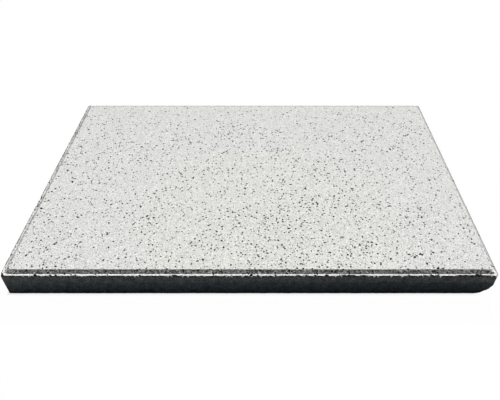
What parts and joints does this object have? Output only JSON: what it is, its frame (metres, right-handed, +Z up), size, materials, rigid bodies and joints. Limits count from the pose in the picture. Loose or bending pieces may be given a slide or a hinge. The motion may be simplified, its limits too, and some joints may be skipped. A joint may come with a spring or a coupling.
{
  "type": "concrete paving slab",
  "caption": "Rectangular concrete paving slab with a stepped bevel and flat rim round its pale speckled walking face, and one broken lower corner.",
  "frame": {"origin": "middle of the flat underside, on the ground", "axes": "+Z up out of the walking face, +X along the slab's length, -Y towards the front edge, whose right end has the broken corner"},
  "size_m": [0.6, 0.4, 0.038],
  "materials": {
    "concrete": "matte, fine-grained and pitted pale grey walking face; charcoal sides"
  },
  "bodies": {
    "root": {"paving_slab": "concrete"}
  },
  "joints": []
}
